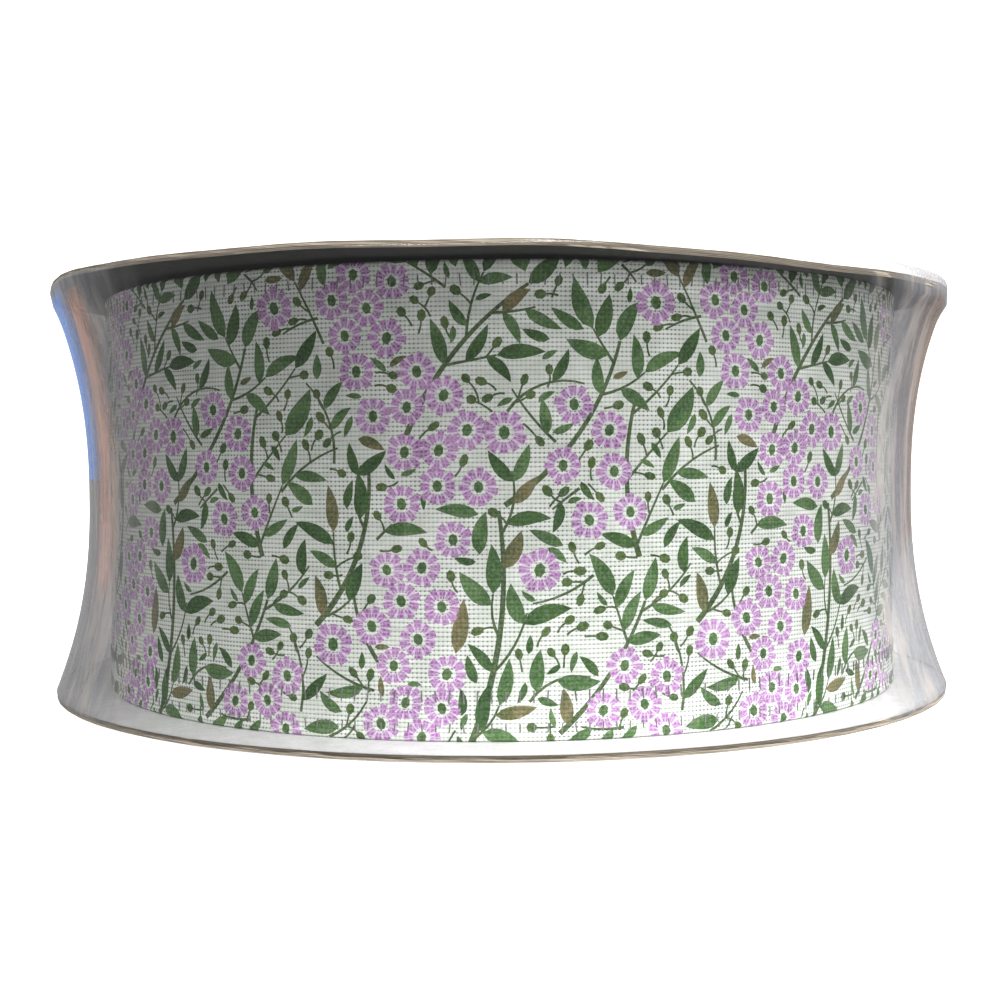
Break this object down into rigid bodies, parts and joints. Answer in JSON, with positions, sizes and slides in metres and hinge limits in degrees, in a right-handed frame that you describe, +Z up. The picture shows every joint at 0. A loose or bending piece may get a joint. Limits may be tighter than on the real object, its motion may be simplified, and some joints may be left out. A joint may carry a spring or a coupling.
{
  "type": "ribbon reel",
  "caption": "Shrink-wrapped reel of wide printed wired-edge ribbon wound on a card core between round card flanges, with a centre hole.",
  "frame": {"origin": "on the reel's axis, on the surface that the reel stands on, which is the underside of the film's lower lap", "axes": "+Z up the reel's axis; +X and +Y are square to it, and the ribbon's taped free end faces +Y, away from the front at -Y"},
  "size_m": [0.1502, 0.1502, 0.0659],
  "materials": {
    "film": "clear glossy shrink film",
    "greyboard": "raw laminated board, plies showing at the cut edge",
    "white_paper": "matt white lining paper",
    "core_card": "wound brown card",
    "hot_melt": "translucent hot-melt glue",
    "ribbon_cloth": "open off-white linen-look weave printed with leaves and small daisies",
    "edge_wire": "thin annealed iron wire",
    "clear_tape": "clear adhesive tape"
  },
  "bodies": {
    "root": {"film_sleeve": "film", "lower_flange_board": "greyboard", "lower_flange_outer_paper": "white_paper", "lower_flange_inner_paper": "white_paper", "upper_flange_board": "greyboard", "upper_flange_outer_paper": "white_paper", "upper_flange_inner_paper": "white_paper", "core_tube": "core_card", "core_cover": "white_paper", "lower_glue_bead": "hot_melt", "upper_glue_bead": "hot_melt", "ribbon": "ribbon_cloth", "lower_edge_wire": "edge_wire", "upper_edge_wire": "edge_wire", "ribbon_tail_tape": "clear_tape", "ribbon_start_tape": "clear_tape"}
  },
  "joints": []
}
